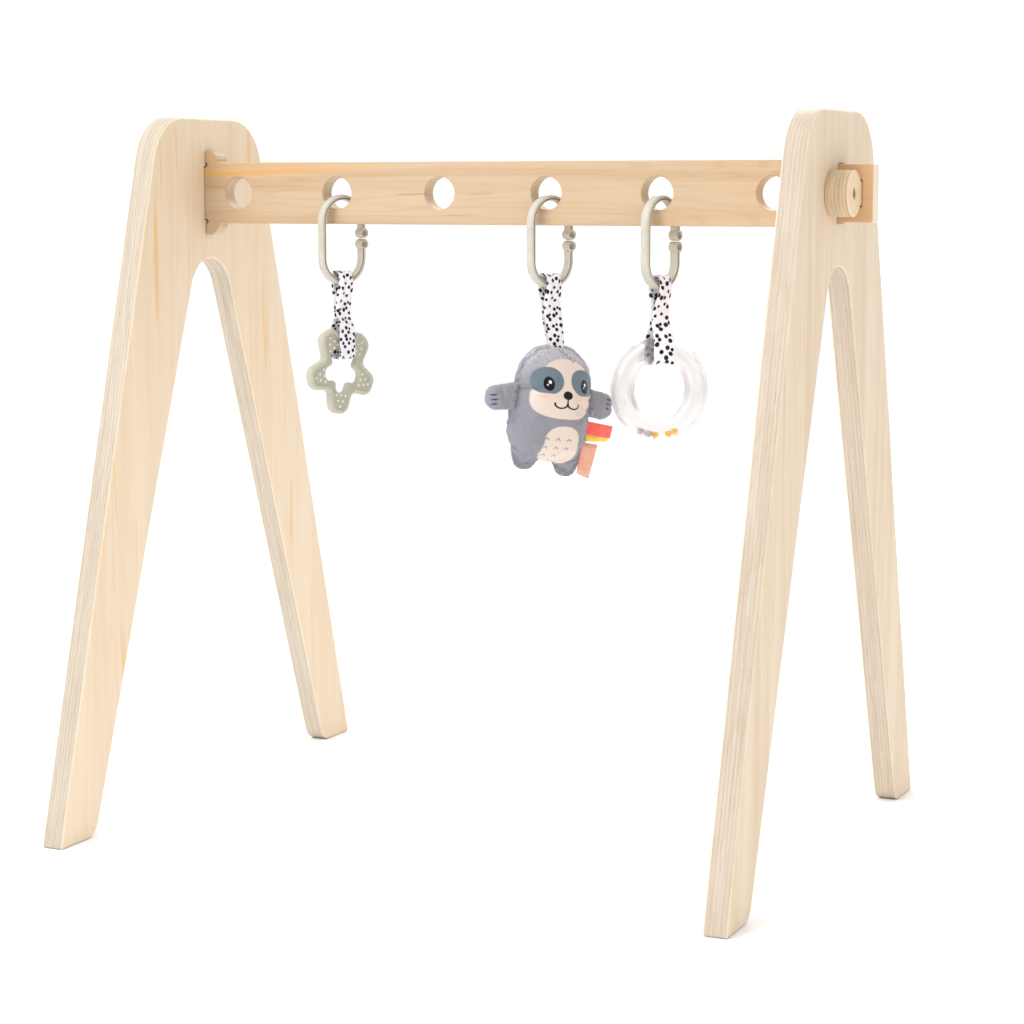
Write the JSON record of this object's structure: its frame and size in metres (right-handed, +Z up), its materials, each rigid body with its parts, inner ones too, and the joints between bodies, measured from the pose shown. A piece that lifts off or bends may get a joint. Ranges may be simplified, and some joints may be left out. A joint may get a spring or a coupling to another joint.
{
  "type": "activity play gym",
  "caption": "Freestanding wooden baby play gym: two A-frame panels, a keyed beam with round holes, and a star teether, a plush sloth and a ring rattle on links.",
  "frame": {"origin": "on the floor under the middle of the beam", "axes": "+X along the beam, +Y from the front feet to the back feet, +Z up"},
  "size_m": [0.606, 0.4568, 0.556],
  "materials": {
    "birch_plywood": "clear matt lacquered plywood, pale, with visible layers on every edge",
    "pine": "clear matt lacquered pine, fine horizontal grain",
    "link_plastic": "satin moulded plastic",
    "dotted_cloth": "woven cotton printed with small black spots",
    "sage_silicone": "soft matt silicone",
    "clear_plastic": "polished clear moulding",
    "yellow_bead": "smooth",
    "grey_bead": "smooth",
    "grey_plush": "short-pile plush",
    "face_plush": "short-pile plush with printed face and belly",
    "stuffing": "loose polyester filling",
    "red_ribbon": "satin ribbon",
    "yellow_ribbon": "satin ribbon",
    "salmon_label": "woven tape"
  },
  "bodies": {
    "stand": {"side_panel_left": "birch_plywood", "side_panel_right": "birch_plywood", "beam": "pine"},
    "key_left": {"key_left": "birch_plywood"},
    "key_right": {"key_right": "birch_plywood"},
    "teether_link": {"teether_link": "link_plastic"},
    "teether_strap": {"teether_strap": "dotted_cloth"},
    "teether_star": {"teether_star": "sage_silicone"},
    "sloth_link": {"sloth_link": "link_plastic"},
    "sloth_strap": {"sloth_strap": "dotted_cloth"},
    "sloth": {"sloth_front_cover": "face_plush", "sloth_back_cover": "grey_plush", "sloth_stuffing": "stuffing", "sloth_arm_left": "grey_plush", "sloth_arm_right": "grey_plush", "ribbon_red": "red_ribbon", "ribbon_yellow": "yellow_ribbon", "side_label": "salmon_label"},
    "rattle_link": {"rattle_link": "link_plastic"},
    "rattle_strap": {"rattle_strap": "dotted_cloth"},
    "rattle_ring": {"rattle_ring_front": "clear_plastic", "rattle_ring_back": "clear_plastic"},
    "rattle_beads": {"rattle_bead_1": "yellow_bead", "rattle_bead_2": "yellow_bead", "rattle_bead_3": "yellow_bead", "rattle_bead_4": "grey_bead", "rattle_bead_5": "grey_bead", "rattle_bead_6": "grey_bead", "rattle_bead_7": "grey_bead"}
  },
  "joints": [
    {"name": "key_left_slide", "type": "slide", "parent": "stand", "child": "key_left", "axis": [0, -1, 0], "range_m": [0, 0.032]},
    {"name": "key_right_slide", "type": "slide", "parent": "stand", "child": "key_right", "axis": [0, -1, 0], "range_m": [0, 0.032]},
    {"name": "teether_link_swing", "type": "hinge", "parent": "stand", "child": "teether_link", "pos_m": [-0.1365, 0, 0.496], "axis": [0, 1, 0], "range_deg": [-40, 40]},
    {"name": "teether_strap_rock", "type": "hinge", "parent": "teether_link", "child": "teether_strap", "pos_m": [-0.1365, 0, 0.4445], "axis": [0.891, -0.454, 0], "range_deg": [-45, 45]},
    {"name": "sloth_link_swing", "type": "hinge", "parent": "stand", "child": "sloth_link", "pos_m": [0.0455, 0, 0.496], "axis": [0, 1, 0], "range_deg": [-14, 40]},
    {"name": "sloth_strap_rock", "type": "hinge", "parent": "sloth_link", "child": "sloth_strap", "pos_m": [0.0455, 0, 0.4445], "axis": [0.8988, -0.4384, 0], "range_deg": [-45, 45]},
    {"name": "rattle_link_swing", "type": "hinge", "parent": "stand", "child": "rattle_link", "pos_m": [0.1365, 0, 0.496], "axis": [0, 1, 0], "range_deg": [-40, 14]},
    {"name": "rattle_strap_rock", "type": "hinge", "parent": "rattle_link", "child": "rattle_strap", "pos_m": [0.1365, 0, 0.4445], "axis": [0.9659, -0.2588, 0], "range_deg": [-45, 45]},
    {"name": "teether_star_rock", "type": "hinge", "parent": "teether_strap", "child": "teether_star", "pos_m": [-0.1365, 0, 0.37105], "axis": [0.9455, -0.3256, 0], "range_deg": [-14, 24]},
    {"name": "sloth_flop", "type": "hinge", "parent": "sloth_strap", "child": "sloth", "pos_m": [0.04877, 0.00503, 0.379], "axis": [0.5446, 0.8387, 0], "range_deg": [-35, 35]},
    {"name": "rattle_ring_turn", "type": "hinge", "parent": "rattle_strap", "child": "rattle_ring", "pos_m": [0.1365, 0, 0.348], "axis": [0.7314, -0.682, 0], "continuous": true},
    {"name": "rattle_beads_roll", "type": "hinge", "parent": "rattle_ring", "child": "rattle_beads", "pos_m": [0.1365, 0, 0.348], "axis": [0.7314, -0.682, 0], "continuous": true}
  ]
}
